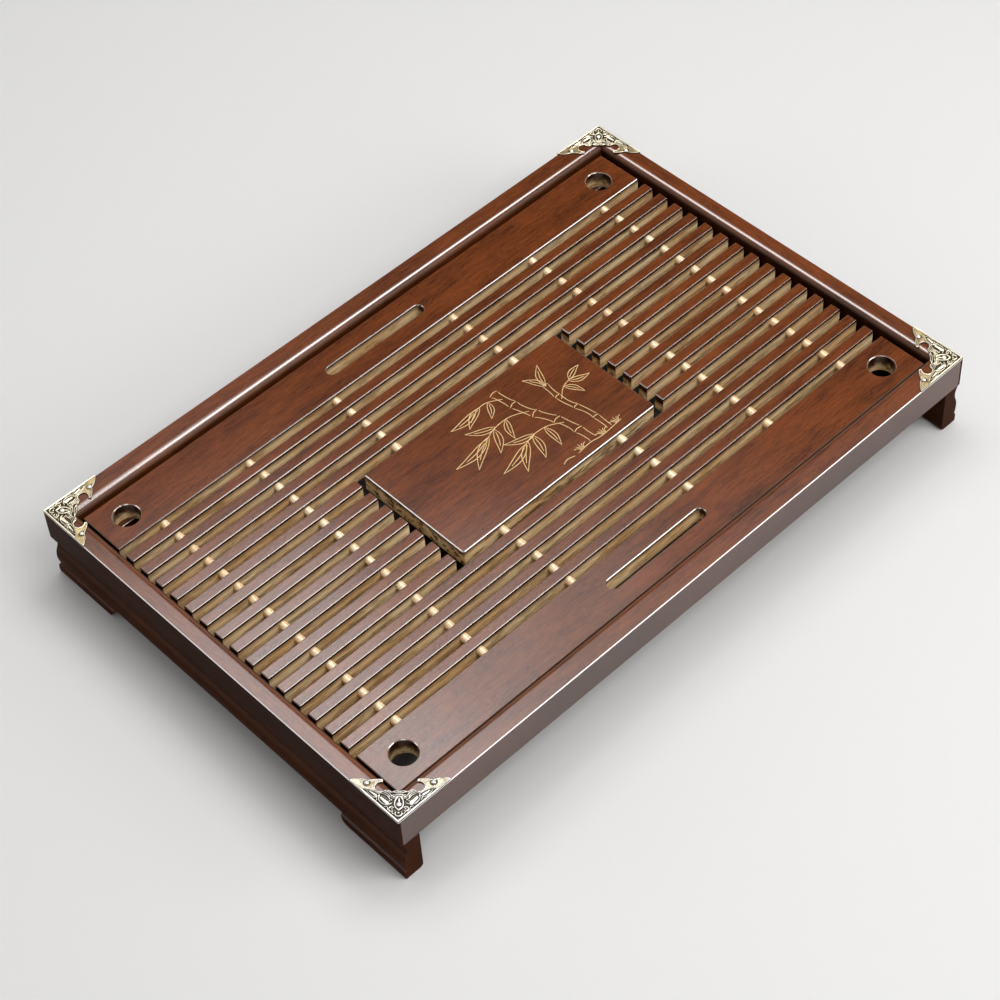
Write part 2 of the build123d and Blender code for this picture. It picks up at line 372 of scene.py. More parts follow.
@dataclass
class Effects:
    """The shader node groups that several finishes share, each built once."""

    seed_step: Triple = (37.0, 91.0, 53.0)
    pore_depth: float = 0.5
    least_slope: float = 0.01
    looks_up: Range = (0.5, 0.97)
    near_level: Range = (0.81, 0.885)
    faces_middle: Range = (2 * MM, 10 * MM)
    faces_end: Range = (0.6, 0.8)
    hole_reach: float = 9.0 * MM
    straight_band_mm: float = 0.8
    sway: float = 1.7
    fade_mm: float = 0.4
    hole_fade_mm: float = 3.4
    fade_lead: float = 0.4
    shade_mm: float = 4.5
    pit_sway: float = 0.1
    hollow: Range = (0.36, 0.49)
    ground: Range = (0.60, 0.82)
    ridge: Range = (0.88, 1.06)

    def __post_init__(self) -> None:
        """Build every group."""
        self.place = self._place()
        self.figure = self._figure()
        self.arris = self._arris()
        self.upward = self._upward()
        self.undercurve = self._undercurve()
        self.stain_line = self._stain_line()
        self.handling = self._handling()
        self.casting = self._casting()

    def _place(self) -> bpy.types.NodeTree:
        """Turn a place on the tray into millimetres along the grain, shifted for each piece.

        Returns:
            The group.
        """
        group = Group("grain_place", {"Turn": 0.0, "Seed": 0.0}, "Place", VECTOR)
        turned = group.add("ShaderNodeVectorRotate", rotation_type="Z_AXIS")
        group.feed(turned.inputs["Vector"], group.spot())
        group.feed(turned.inputs["Angle"], group.given["Turn"])
        scaled = group.vector("SCALE", group.out(turned, "Vector"), scale=1 / MM)
        shift = group.vector("SCALE", self.seed_step, scale=group.given["Seed"])
        return group.give(Place=group.vector("ADD", scaled, shift))

    def _figure(self) -> bpy.types.NodeTree:
        """Fine straight wood grain: fibres, pores, broad figure and blotches of the stain.

        Returns:
            The group.
        """
        group = Group("wood_figure", {"Place": None}, "Fibre Pores Figure Blotch Sheen Height")
        place = group.given["Place"]
        fibre = group.sample(place, FIBRE)
        pores = group.contrast(place, PORES)
        return group.give(
            Fibre=group.step(fibre, FIBRE.low, FIBRE.high),
            Pores=pores,
            Figure=group.contrast(place, FIGURE),
            Blotch=group.contrast(place, BLOTCH),
            Sheen=group.contrast(place, SHEEN),
            Height=(fibre + group.sample(place, MOTTLE)) * 0.5 - pores * self.pore_depth,
        )

    def _arris(self) -> bpy.types.NodeTree:
        """Mark the sloping faces along the edges of a piece, where lacquer wears and gathers and where the
        colour gets a painted highlight.

        Returns:
            The group.
        """
        group = Group("arris", {"Softness": 0.3}, "Mask")
        x, y, z = (abs(part) for part in group.split(group.normal()))
        slope = 1.0 - group.math("MAXIMUM", z, group.math("MAXIMUM", x, y))
        return group.give(Mask=group.step(slope, self.least_slope, group.given["Softness"] * 0.5))

    def _upward(self) -> bpy.types.NodeTree:
        """Mark the faces that look up, which took more of the sprayed finish than the sides, and which the
        stain leaves free of its painted side shade.
        """
        group = Group("upward", {}, "Mask")
        return group.give(Mask=group.step(group.split(group.normal())[2], *self.looks_up))

    def _undercurve(self) -> bpy.types.NodeTree:
        """Mark the steep part of the rounds that face the middle of the tray, where little lacquer settled.

        Returns:
            The group.
        """
        group = Group("undercurve", {}, "Mask")
        normal = group.normal()
        level = group.vector("MULTIPLY", normal, (1.0, 1.0, 0.0))
        outward = group.vector("DOT_PRODUCT", level, group.spot())
        inward = group.step(outward * -1.0, *self.faces_middle)
        steep = 1.0 - group.step(group.split(normal)[2], *self.near_level)
        return group.give(Mask=inward * steep)

    def _stain_line(self) -> bpy.types.NodeTree:
        """Mark what the stain covers: the top, a ragged band down the sides, and more of the ends.

        Returns:
            The group.
        """
        inputs = {"Place": None, "Top": 0.0, "Band": 1.2, "End Band": 4.0, "Hole Band": 4.5, "Hole": None}
        group = Group("stain_line", inputs, "Mask Run End Shade")
        given = group.given
        spot = group.spot()
        depth = (given["Top"] - group.split(spot)[2]) * (1 / MM)
        is_end = group.step(abs(group.split(group.normal("True Normal"))[0]), *self.faces_end)
        away = group.vector("SUBTRACT", group.vector("ABSOLUTE", spot), given["Hole"])
        reach = group.vector("LENGTH", group.vector("MULTIPLY", away, (1.0, 1.0, 0.0)))
        in_hole = group.math("LESS_THAN", reach, self.hole_reach)
        side_band = given["Band"] + is_end * (given["End Band"] - given["Band"])
        band = side_band + in_hole * (given["Hole Band"] - side_band)
        sway = (band - self.straight_band_mm) * self.sway
        line = band + (group.sample(given["Place"], RAGGED) - 0.5) * sway
        past = depth - line
        fade = in_hole * self.hole_fade_mm + self.fade_mm
        return group.give(
            Mask=1.0 - group.step(past, fade * -self.fade_lead, fade),
            Run=group.contrast(given["Place"], RUNS),
            End=group.math("MAXIMUM", is_end, in_hole),
            Shade=1.0 - group.step(past, 0.0, self.shade_mm),
        )

    def _handling(self) -> bpy.types.NodeTree:
        """Soft smudges and fine dust nibs that vary the gloss of a lacquered or moulded surface.

        Returns:
            The group.
        """
        group = Group("handling", {"Place": None, "Gloss": 0.3, "Spread": 0.1}, "Roughness Nibs")
        place = group.given["Place"]
        shift = (group.sample(place, SMUDGE) - 0.5) * group.given["Spread"]
        roughness = (group.given["Gloss"] + shift).clamped()
        return group.give(Roughness=roughness, Nibs=group.contrast(place, NIBS))

    def _casting(self) -> bpy.types.NodeTree:
        """Tone of a relief casting by height: dark hollows, bright buffed ridges and fine pits.

        Returns:
            The group.
        """
        group = Group("casting", {"Base": 0.0, "Rise": 1.0}, "Hollow Ground Ridge Pits Tarnish")
        spot = group.spot()
        place = group.vector("SCALE", spot, scale=1 / MM)
        height = (group.split(spot)[2] - group.given["Base"]) / group.given["Rise"]
        pits = group.sample(place, PITS)
        wavy = height + (pits - 0.5) * self.pit_sway
        return group.give(
            Hollow=1.0 - group.step(wavy, *self.hollow),
            Ground=1.0 - group.step(wavy, *self.ground),
            Ridge=group.step(wavy, *self.ridge),
            Pits=group.step(pits, PITS.low, PITS.high),
            Tarnish=group.contrast(place, CLOUD),
        )


class Surface(Graph):
    """A material that is being built around one Principled shader."""

    def __init__(self, name: str) -> None:
        """Make the material with a bare shader.

        Args:
            name: The material's name.
        """
        self.material = bpy.data.materials.new(name)
        self.material.use_nodes = True
        super().__init__(self.material.node_tree)
        self.tree.nodes.clear()
        self.shader = self.add("ShaderNodeBsdfPrincipled")
        self.output = self.add("ShaderNodeOutputMaterial").inputs["Surface"]
        self.feed(self.output, self.out(self.shader, "BSDF"))

    def paint(self, **values: object) -> None:
        """Feed the shader's inputs by name, with _ for a space."""
        for name, value in values.items():
            self.feed(self.shader.inputs[name.replace("_", " ")], value)

    def along(self, effects: Effects, grain: Grain, seed: float) -> Signal:
        """Give the place along the grain in millimetres, shifted by the piece's seed."""
        return self.group(effects.place, Turn=grain.value, Seed=seed)["Place"]

    def bump(self, height: Signal, depth: float) -> None:
        """Feed the shader's normal with a bump.

        Args:
            height: The height from 0 to 1.
            depth: What a height of 1 stands for, in metres.
        """
        node = self.add("ShaderNodeBump")
        node.inputs["Distance"].default_value = depth
        node.inputs["Strength"].default_value = 1.0
        self.feed(node.inputs["Height"], height)
        self.paint(Normal=self.out(node, "Normal"))


@dataclass(frozen=True)
class StainedWood:
    """Satin lacquer over a walnut stain."""

    dark: Colour = (0.036, 0.0076, 0.0017)
    light: Colour = (0.190, 0.047, 0.0090)
    # Pale edge colour: partly wear, partly a painted highlight along the arrises.
    lightened: Colour = (0.62, 0.44, 0.33)
    figure_share: float = 0.26
    fibre_share: float = 0.52
    blotch_share: float = 0.22
    pore_share: float = 0.42
    wear_and_highlight: float = 0.45
    # Painted shade: the stain on faces that don't look up is darkened to this share.
    painted_side_shade: float = 0.5
    gloss: float = 0.42
    gloss_spread: float = 0.12
    coat: float = 0.36
    side_coat: float = 0.14
    coat_gloss: float = 0.15
    coat_index: float = 2.6
    arris_softness: float = 0.4
    arris_coat: float = 1.0
    undercurve: float = 0.0
    mottle: float = 0.26
    specular: float = 0.02
    relief: float = 0.03 * MM

    def colour(self, surface: Surface, effects: Effects, figure: dict[str, Signal]) -> Signal:
        """Lay the stain over the figure of the wood, with painted shade on the sides and pale arrises that
        are partly wear and partly a painted highlight.

        Args:
            surface: The material that is being built.
            effects: The shared groups.
            figure: The outputs of the figure group.

        Returns:
            The stained colour.
        """
        tone = figure["Figure"] * self.figure_share + figure["Fibre"] * self.fibre_share
        tone += figure["Blotch"] * self.blotch_share
        stained = surface.mix(tone, self.dark, self.light)
        pored = surface.mix(figure["Pores"] * self.pore_share, stained, self.dark)
        # Painted shade: faces that don't look up are darkened, as if less lit.
        shade = surface.mask(effects.upward) * (1.0 - self.painted_side_shade) + self.painted_side_shade
        shaded = surface.vector("SCALE", pored, scale=shade)
        # The arrises are lightened: partly wear, partly a painted highlight.
        edge = surface.mask(effects.arris, Softness=self.arris_softness)
        return surface.mix(edge * self.wear_and_highlight, shaded, self.lightened)

    def lacquer(self, surface: Surface, effects: Effects, figure: dict[str, Signal]) -> Signal:
        """Lay the lacquer on: full on arrises, thinner on the flats and thinner still on the sides.

        Args:
            surface: The material that is being built.
            effects: The shared groups.
            figure: The outputs of the figure group.

        Returns:
            How much lacquer there is.
        """
        flat = surface.mask(effects.upward) * (self.coat - self.side_coat) + self.side_coat
        sunk = figure["Sheen"] * (2 * self.mottle) + (1.0 - self.mottle)
        edge = surface.mask(effects.arris, Softness=self.arris_softness)
        weight = surface.math("MAXIMUM", flat * sunk, edge * self.arris_coat)
        bare = surface.mask(effects.undercurve) * self.undercurve
        surface.paint(Coat_Roughness=self.coat_gloss, Coat_IOR=self.coat_index)
        surface.paint(Specular_IOR_Level=self.specular)
        return (weight * (1.0 - bare)).clamped()

    def material(self, name: str, effects: Effects, grain: Grain, seed: float) -> bpy.types.Material:
        """Make the finish for one piece.

        Args:
            name: The material's name.
            effects: The shared groups.
            grain: Which way the fibres run.
            seed: Shifts the grain, so that no two pieces match.

        Returns:
            The material.
        """
        surface = Surface(name)
        place = surface.along(effects, grain, seed)
        figure = surface.group(effects.figure, Place=place)
        handling = surface.group(effects.handling, Place=place, Gloss=self.gloss, Spread=self.gloss_spread)
        surface.paint(
            Base_Color=self.colour(surface, effects, figure),
            Roughness=handling["Roughness"],
            Coat_Weight=self.lacquer(surface, effects, figure),
        )
        surface.bump(figure["Height"], self.relief)
        return surface.material


@dataclass(frozen=True)
class TwoToneWood:
    """Stain and lacquer on top, and bare tan wood with runs of stain down the sides."""

    stain: StainedWood = StainedWood()
    raw_dark: Colour = (0.70, 0.41, 0.16)
    raw_light: Colour = (1.0, 0.86, 0.56)
    raw_fibre_share: float = 0.45
    raw_blotch_share: float = 0.55
    run: Colour = (0.14, 0.055, 0.015)
    line: Colour = (0.009, 0.0035, 0.0020)
    band_mm: float = 1.5
    end_band_mm: float = 4.2
    hole_band_mm: float = 5.0
    hole_place: Triple = (0.1915, 0.117, 0.0)
    runs: float = 0.45
    shade: float = 0.85
    end_soak: float = 0.3
    raw_dullness: float = 0.22
    raw_thinness: float = 0.10

    def material(self, name: str, effects: Effects, seed: float, top: float) -> bpy.types.Material:
        """Make the finish for one piece.

        Args:
            name: The material's name.
            effects: The shared groups.
            seed: Shifts the grain, so that no two pieces match.
            top: The height of the piece's top face.

        Returns:
            The material.
        """
        surface = Surface(name)
        place = surface.along(effects, Grain.ALONG_X, seed)
        figure = surface.group(effects.figure, Place=place)
        line = surface.group(
            effects.stain_line,
            Place=place,
            Top=top,
            Band=self.band_mm,
            End_Band=self.end_band_mm,
            Hole_Band=self.hole_band_mm,
            Hole=self.hole_place,
        )
        tone = figure["Fibre"] * self.raw_fibre_share + figure["Blotch"] * self.raw_blotch_share
        raw = surface.mix(tone, self.raw_dark, self.raw_light)
        raw = surface.mix(line["Shade"] * self.shade, raw, self.run)
        soaked = (line["End"] * self.end_soak + self.runs).clamped()
        raw = surface.mix(line["Run"] * soaked, raw, self.run)
        sprayed = (surface.mask(effects.upward) + line["End"] * self.end_soak).clamped()
        # The stained colour here carries the painted side shade and the painted edge highlight.
        overspray = surface.mix(sprayed, self.line, self.stain.colour(surface, effects, figure))
        bare = 1.0 - line["Mask"]
        gloss, spread = self.stain.gloss, self.stain.gloss_spread
        handling = surface.group(effects.handling, Place=place, Gloss=gloss, Spread=spread)
        coat = self.stain.lacquer(surface, effects, figure)
        surface.paint(
            Base_Color=surface.mix(line["Mask"], raw, overspray),
            Roughness=(handling["Roughness"] + bare * self.raw_dullness).clamped(),
            Coat_Weight=(coat - bare * self.raw_thinness).clamped(),
        )
        surface.bump(figure["Height"], self.stain.relief)
        return surface.material


@dataclass(frozen=True)
class PaleDowel:
    """Natural pale hardwood, lightly sealed."""

    dark: Colour = (0.72, 0.41, 0.16)
    light: Colour = (1.0, 0.90, 0.65)
    fibre_share: float = 0.6
    figure_share: float = 0.4
    pore_share: float = 0.3
    gloss: float = 0.3
    gloss_spread: float = 0.1
    seal: float = 0.6
    seal_index: float = 2.0
    seal_gloss: float = 0.18
    relief: float = 0.03 * MM

    def material(self, name: str, effects: Effects, seed: float) -> bpy.types.Material:
        """Make the finish for one dowel.

        Args:
            name: The material's name.
            effects: The shared groups.
            seed: Shifts the grain.

        Returns:
            The material.
        """
        surface = Surface(name)
        place = surface.along(effects, Grain.ALONG_Y, seed)
        figure = surface.group(effects.figure, Place=place)
        tone = figure["Fibre"] * self.fibre_share + figure["Figure"] * self.figure_share
        wood = surface.mix(tone, self.dark, self.light)
        handling = surface.group(effects.handling, Place=place, Gloss=self.gloss, Spread=self.gloss_spread)
        surface.paint(
            Base_Color=surface.mix(figure["Pores"] * self.pore_share, wood, self.dark),
            Roughness=handling["Roughness"],
            Coat_Weight=self.seal,
            Coat_IOR=self.seal_index,
            Coat_Roughness=self.seal_gloss,
        )
        surface.bump(figure["Height"], self.relief)
        return surface.material


@dataclass(frozen=True)
class AntiqueBrass:
    """Brass casting, darkened in its hollows and buffed bright on its ridges."""

    hollow: Colour = (0.012, 0.009, 0.006)
    ground: Colour = (0.12, 0.100, 0.072)
    plain: Colour = (0.52, 0.47, 0.38)
    tarnish: Colour = (0.22, 0.155, 0.065)
    ridge: Colour = (1.0, 0.97, 0.91)
    tarnish_share: float = 0.85
    hollow_share: float = 0.95
    metallic: float = 0.8
    hollow_metallic: float = 0.4
    gloss: float = 0.29
    hollow_dullness: float = 0.3
    tarnish_dullness: float = 0.12
    relief: float = 0.02 * MM

    def material(self, name: str, effects: Effects, base: float, rise: float) -> bpy.types.Material:
        """Make the finish for the castings or the nails.

        Args:
            name: The material's name.
            effects: The shared groups.
            base: The height where the relief starts.
            rise: How far the relief rises.

        Returns:
            The material.
        """
        surface = Surface(name)
        cast = surface.group(effects.casting, Base=base, Rise=rise)
        flat = surface.mix(cast["Tarnish"] * self.tarnish_share, self.plain, self.tarnish)
        carved = surface.mix(cast["Ground"], flat, self.ground)
        brightened = surface.mix(cast["Ridge"], carved, self.ridge)
        dullness = cast["Hollow"] * self.hollow_dullness + cast["Tarnish"] * self.tarnish_dullness
        surface.paint(
            Base_Color=surface.mix(cast["Hollow"] * self.hollow_share, brightened, self.hollow),
            Metallic=self.metallic - cast["Hollow"] * self.hollow_metallic,
            Roughness=self.gloss + dullness,
        )
        surface.bump(cast["Pits"], self.relief)
        return surface.material


@dataclass(frozen=True)
class PanPlastic:
    """Black moulded plastic with a fine spark grain."""

    base: Colour = (0.010, 0.011, 0.012)
    scuffed: Colour = (0.022, 0.023, 0.024)
    scuff_share: float = 0.7
    nib_share: float = 0.3
    gloss: float = 0.38
    gloss_spread: float = 0.25
    relief: float = 0.04 * MM
    seed: float = 3.0

    def material(self, name: str, effects: Effects) -> bpy.types.Material:
        """Make the finish for the pan.

        Args:
            name: The material's name.
            effects: The shared groups.

        Returns:
            The material.
        """
        surface = Surface(name)
        place = surface.along(effects, Grain.ALONG_X, self.seed)
        handling = surface.group(effects.handling, Place=place, Gloss=self.gloss, Spread=self.gloss_spread)
        lightened = surface.mix(surface.contrast(place, SCUFF) * self.scuff_share, self.base, self.scuffed)
        colour = surface.mix(handling["Nibs"] * self.nib_share, lightened, self.scuffed)
        surface.paint(Base_Color=colour, Roughness=handling["Roughness"])
        surface.bump(surface.sample(place, SPARK), self.relief)
        return surface.material


@dataclass(frozen=True)
class GoldLine:
    """Gold paint of the plaque's line work."""

    base: Colour = (0.60, 0.40, 0.16)
    bright: Colour = (0.86, 0.66, 0.34)
    metallic: float = 0.6
    gloss: float = 0.42
    gloss_spread: float = 0.2
    relief: float = 0.03 * MM
    seed: float = 5.0

    def material(self, name: str, effects: Effects) -> bpy.types.Material:
        """Make the finish for the line work.

        Args:
            name: The material's name.
            effects: The shared groups.

        Returns:
            The material.
        """
        surface = Surface(name)
        place = surface.along(effects, Grain.ALONG_X, self.seed)
        flakes = surface.sample(place, FLAKES)
        shine = surface.step(flakes, FLAKES.low, FLAKES.high)
        handling = surface.group(effects.handling, Place=place, Gloss=self.gloss, Spread=self.gloss_spread)
        colour = surface.mix(shine, self.base, self.bright)
        surface.paint(Base_Color=colour, Roughness=handling["Roughness"], Metallic=flakes * self.metallic)
        surface.bump(flakes, self.relief)
        return surface.material


def dress(name: str, material: bpy.types.Material) -> None:
    """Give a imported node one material."""
    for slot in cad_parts[name].material_slots:
        slot.material = material


def soften(name: str, width: float, least_angle: float = 34.0) -> None:
    """Round the sharp edges of a straight-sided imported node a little, and keep its faces flat in shading.

    Args:
        name: The node's name.
        width: How far the rounding reaches along each face.
        least_angle: The least fold that is rounded, in degrees.
    """
    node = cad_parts[name]
    weld = node.modifiers.new("joined", "WELD")
    weld.merge_threshold = MM / 1000
    edge = node.modifiers.new("soft_edge", "BEVEL")
    edge.width = width
    edge.segments = 2
    edge.limit_method = "ANGLE"
    edge.angle_limit = math.radians(least_angle)
    shade = node.modifiers.new("flat_faces", "WEIGHTED_NORMAL")
    shade.weight = 100
    shade.thresh = 1e-7


def numbered(prefix: str) -> list[str]:
    """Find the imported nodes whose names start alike, in order."""
    return sorted(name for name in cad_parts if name.startswith(prefix))


def new_piece(name: str, mesh: bmesh.types.BMesh) -> bpy.types.Object:
    """Turn a finished mesh into a smooth object of the scene.

    Args:
        name: The object's name.
        mesh: The mesh, which is freed.

    Returns:
        The object.
    """
    data = bpy.data.meshes.new(name)
    mesh.to_mesh(data)
    mesh.free()
    data.shade_smooth()
    piece = bpy.data.objects.new(name, data)
    bpy.context.scene.collection.objects.link(piece)
    return piece


@dataclass
class RimFrame:
    """The mitred rim rails, the moulded foot boards, the ledges and the runners."""

    effects: Effects
    long_rail: StainedWood = StainedWood(
        wear_and_highlight=0.05, painted_side_shade=0.5, side_coat=0.58, coat_gloss=0.2, arris_softness=0.12, undercurve=0.95,
        mottle=0.12, relief=0.003 * MM
    )
    end_rail: StainedWood = StainedWood(
        wear_and_highlight=0.05, painted_side_shade=0.24, side_coat=0.0, coat_gloss=0.2, arris_softness=0.12, undercurve=0.95,
        mottle=0.12, relief=0.003 * MM
    )
    # Painted shade: the foot boards' stain is made darker than the rails', for the shade they sit in under
    # the rim.
    foot: StainedWood = StainedWood(
        dark=(0.030, 0.0070, 0.0018), light=(0.105, 0.028, 0.0065), wear_and_highlight=0.12, painted_side_shade=0.6, coat=0.10,
        side_coat=0.0, coat_gloss=0.25, arris_coat=0.06
    )
    ledge: StainedWood = StainedWood(light=(0.17, 0.050, 0.0120), coat=0.22, side_coat=0.07, coat_gloss=0.25)
    edge_round: float = 0.28 * MM
    first_seed: float = 1.0

    def dress(self) -> int:
        """Dress every piece of the frame.

        Returns:
            How many nodes were dressed.
        """
        grains = {
            "long_rail": (self.long_rail, Grain.ALONG_X),
            "end_rail": (self.end_rail, Grain.ALONG_Y),
            "foot_board": (self.foot, Grain.ALONG_Y),
            "ledge_front": (self.ledge, Grain.ALONG_X),
            "ledge_back": (self.ledge, Grain.ALONG_X),
            "ledge_left": (self.ledge, Grain.ALONG_Y),
            "ledge_right": (self.ledge, Grain.ALONG_Y),
            "runner": (self.ledge, Grain.ALONG_Y),
        }
        count = 0
        for prefix, (finish, grain) in grains.items():
            for name in numbered(prefix):
                seed = self.first_seed + count
                dress(name, finish.material(f"{name}_finish", self.effects, grain, seed))
                if finish is self.ledge:
                    soften(name, self.edge_round)
                count += 1
        return count


@dataclass
class DrainingDeck:
    """The wide boards, the slats and the dowels that lift out together."""

    effects: Effects
    wood: TwoToneWood = TwoToneWood()
    dowel: PaleDowel = PaleDowel()
    edge_round: float = 0.32 * MM
    first_seed: float = 20.0

    def dress(self) -> int:
        """Dress the boards, the slats and the dowels.

        Returns:
            How many nodes were dressed.
        """
        straight = numbered("deck_board") + numbered("slat")
        for seed, name in enumerate(straight):
            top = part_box(name)[1].z
            dress(name, self.wood.material(f"{name}_finish", self.effects, self.first_seed + seed, top))
            soften(name, self.edge_round)
        dowels = numbered("dowel")
        for seed, name in enumerate(dowels, start=len(straight)):
            dress(name, self.dowel.material(f"{name}_finish", self.effects, self.first_seed + seed))
        return len(straight) + len(dowels)


def arc_through(start: Point, middle: Point, end: Point, steps: int) -> list[Point]:
    """Follow the circle through three points.

    Args:
        start: Where the arc starts.
        middle: A point on the way.
        end: Where the arc ends.
        steps: How many points are given, without the last.

    Returns:
        Points from the start on, without the end.
    """
    (ax, ay), (bx, by), (cx, cy) = start, middle, end
    twice = 2 * (ax * (by - cy) + bx * (cy - ay) + cx * (ay - by))
    a2, b2, c2 = ax * ax + ay * ay, bx * bx + by * by, cx * cx + cy * cy
    ox = (a2 * (by - cy) + b2 * (cy - ay) + c2 * (ay - by)) / twice
    oy = (a2 * (cx - bx) + b2 * (ax - cx) + c2 * (bx - ax)) / twice
    radius = math.hypot(ax - ox, ay - oy)
    first = math.atan2(ay - oy, ax - ox)
    turn = (math.atan2(cy - oy, cx - ox) - first) % (2 * math.pi)
    through = (math.atan2(by - oy, bx - ox) - first) % (2 * math.pi)
    if through > turn:
        turn -= 2 * math.pi
    angles = [first + turn * k / steps for k in range(steps)]
    return [(ox + radius * math.cos(a), oy + radius * math.sin(a)) for a in angles]


def smooth_path(points: list[Point], steps: int = 8) -> np.ndarray:
    """Draw a smooth curve through given points.

    Args:
        points: The points to pass through.
        steps: How many stretches lie between two points.

    Returns:
        The curve's points as rows.
    """
    ends = [points[0], *points, points[-1]]
    curve = []
    for before, start, end, after in zip(ends, ends[1:], ends[2:], ends[3:]):
        p0, p1, p2, p3 = (np.array(p, float) for p in (before, start, end, after))
        for k in range(steps):
            t = k / steps
            square = 2 * p0 - 5 * p1 + 4 * p2 - p3
            cube = 3 * p1 - p0 - 3 * p2 + p3
            curve.append(0.5 * (2 * p1 + (p2 - p0) * t + square * t**2 + cube * t**3))
    curve.append(np.array(points[-1], float))
    return np.array(curve)


def spans(places: np.ndarray, path: np.ndarray) -> Iterator[tuple]:
    """Measure how far places are from each span of a path.

    Args:
        places: Rows of two coordinates.
        path: The path's points as rows.

    Yields:
        A span's two ends, and each place's share along it and distance from it.
    """
    for start, end in zip(path, path[1:]):
        along = end - start
        share = np.clip((places - start) @ along / max(float(along @ along), TINY), 0, 1)
        yield start, end, share, np.linalg.norm(places - start - share[:, None] * along, axis=1)


@dataclass(frozen=True)
class Stroke:
    """One raised line of the relief, in millimetres from the corner of the bracket."""

    points: tuple[Point, ...]
    width: float
    rise: float
    end_width: float = 0.0
    mirrored: bool = True

    def lift(self, places: np.ndarray) -> tuple[np.ndarray, np.ndarray]:
        """Work out how high the stroke stands at each place, and how far off its edge is.

        Args:
            places: Rows of two coordinates.

        Returns:
            Heights above the ground, nought away from the stroke, and distances from its edge.
        """
        path = smooth_path(list(self.points)) if len(self.points) > 1 else np.array(self.points * 2, float)
        widening = (self.end_width or self.width) - self.width
        best = np.zeros(len(places))
        off = np.full(len(places), np.inf)
        for k, (_, _, share, gap) in enumerate(spans(places, path)):
            width = self.width + widening * (k + share) / (len(path) - 1)
            best = np.maximum(best, np.sqrt(np.clip(1 - (gap / width) ** 2, 0, 1)))
            off = np.minimum(off, np.abs(gap - width))
        return best * self.rise, off


def ring(centre: Point, radius: float, start: float, end: float, count: int = 9) -> tuple[Point, ...]:
    """Lay points round part of a circle.

    Args:
        centre: The circle's centre.
        radius: Its radius.
        start: The first angle, in degrees.
        end: The last angle, in degrees.
        count: How many points.

    Returns:
        The points.
    """
    angles = [math.radians(start + (end - start) * k / (count - 1)) for k in range(count)]
    return tuple((centre[0] + radius * math.cos(a), centre[1] + radius * math.sin(a)) for a in angles)


def bead(centre: Point, radius: float, rise: float, mirrored: bool = True) -> Stroke:
    """Make a round bead, as a stroke of no length."""
    return Stroke((centre,), radius, rise, mirrored=mirrored)


@dataclass(frozen=True)
class FaceNet:
    """The triangles of a bracket's face, with places and heights in millimetres from its corner."""

    places: np.ndarray
    triangles: list[tuple[int, ...]]
    heights: np.ndarray
    edge_count: int


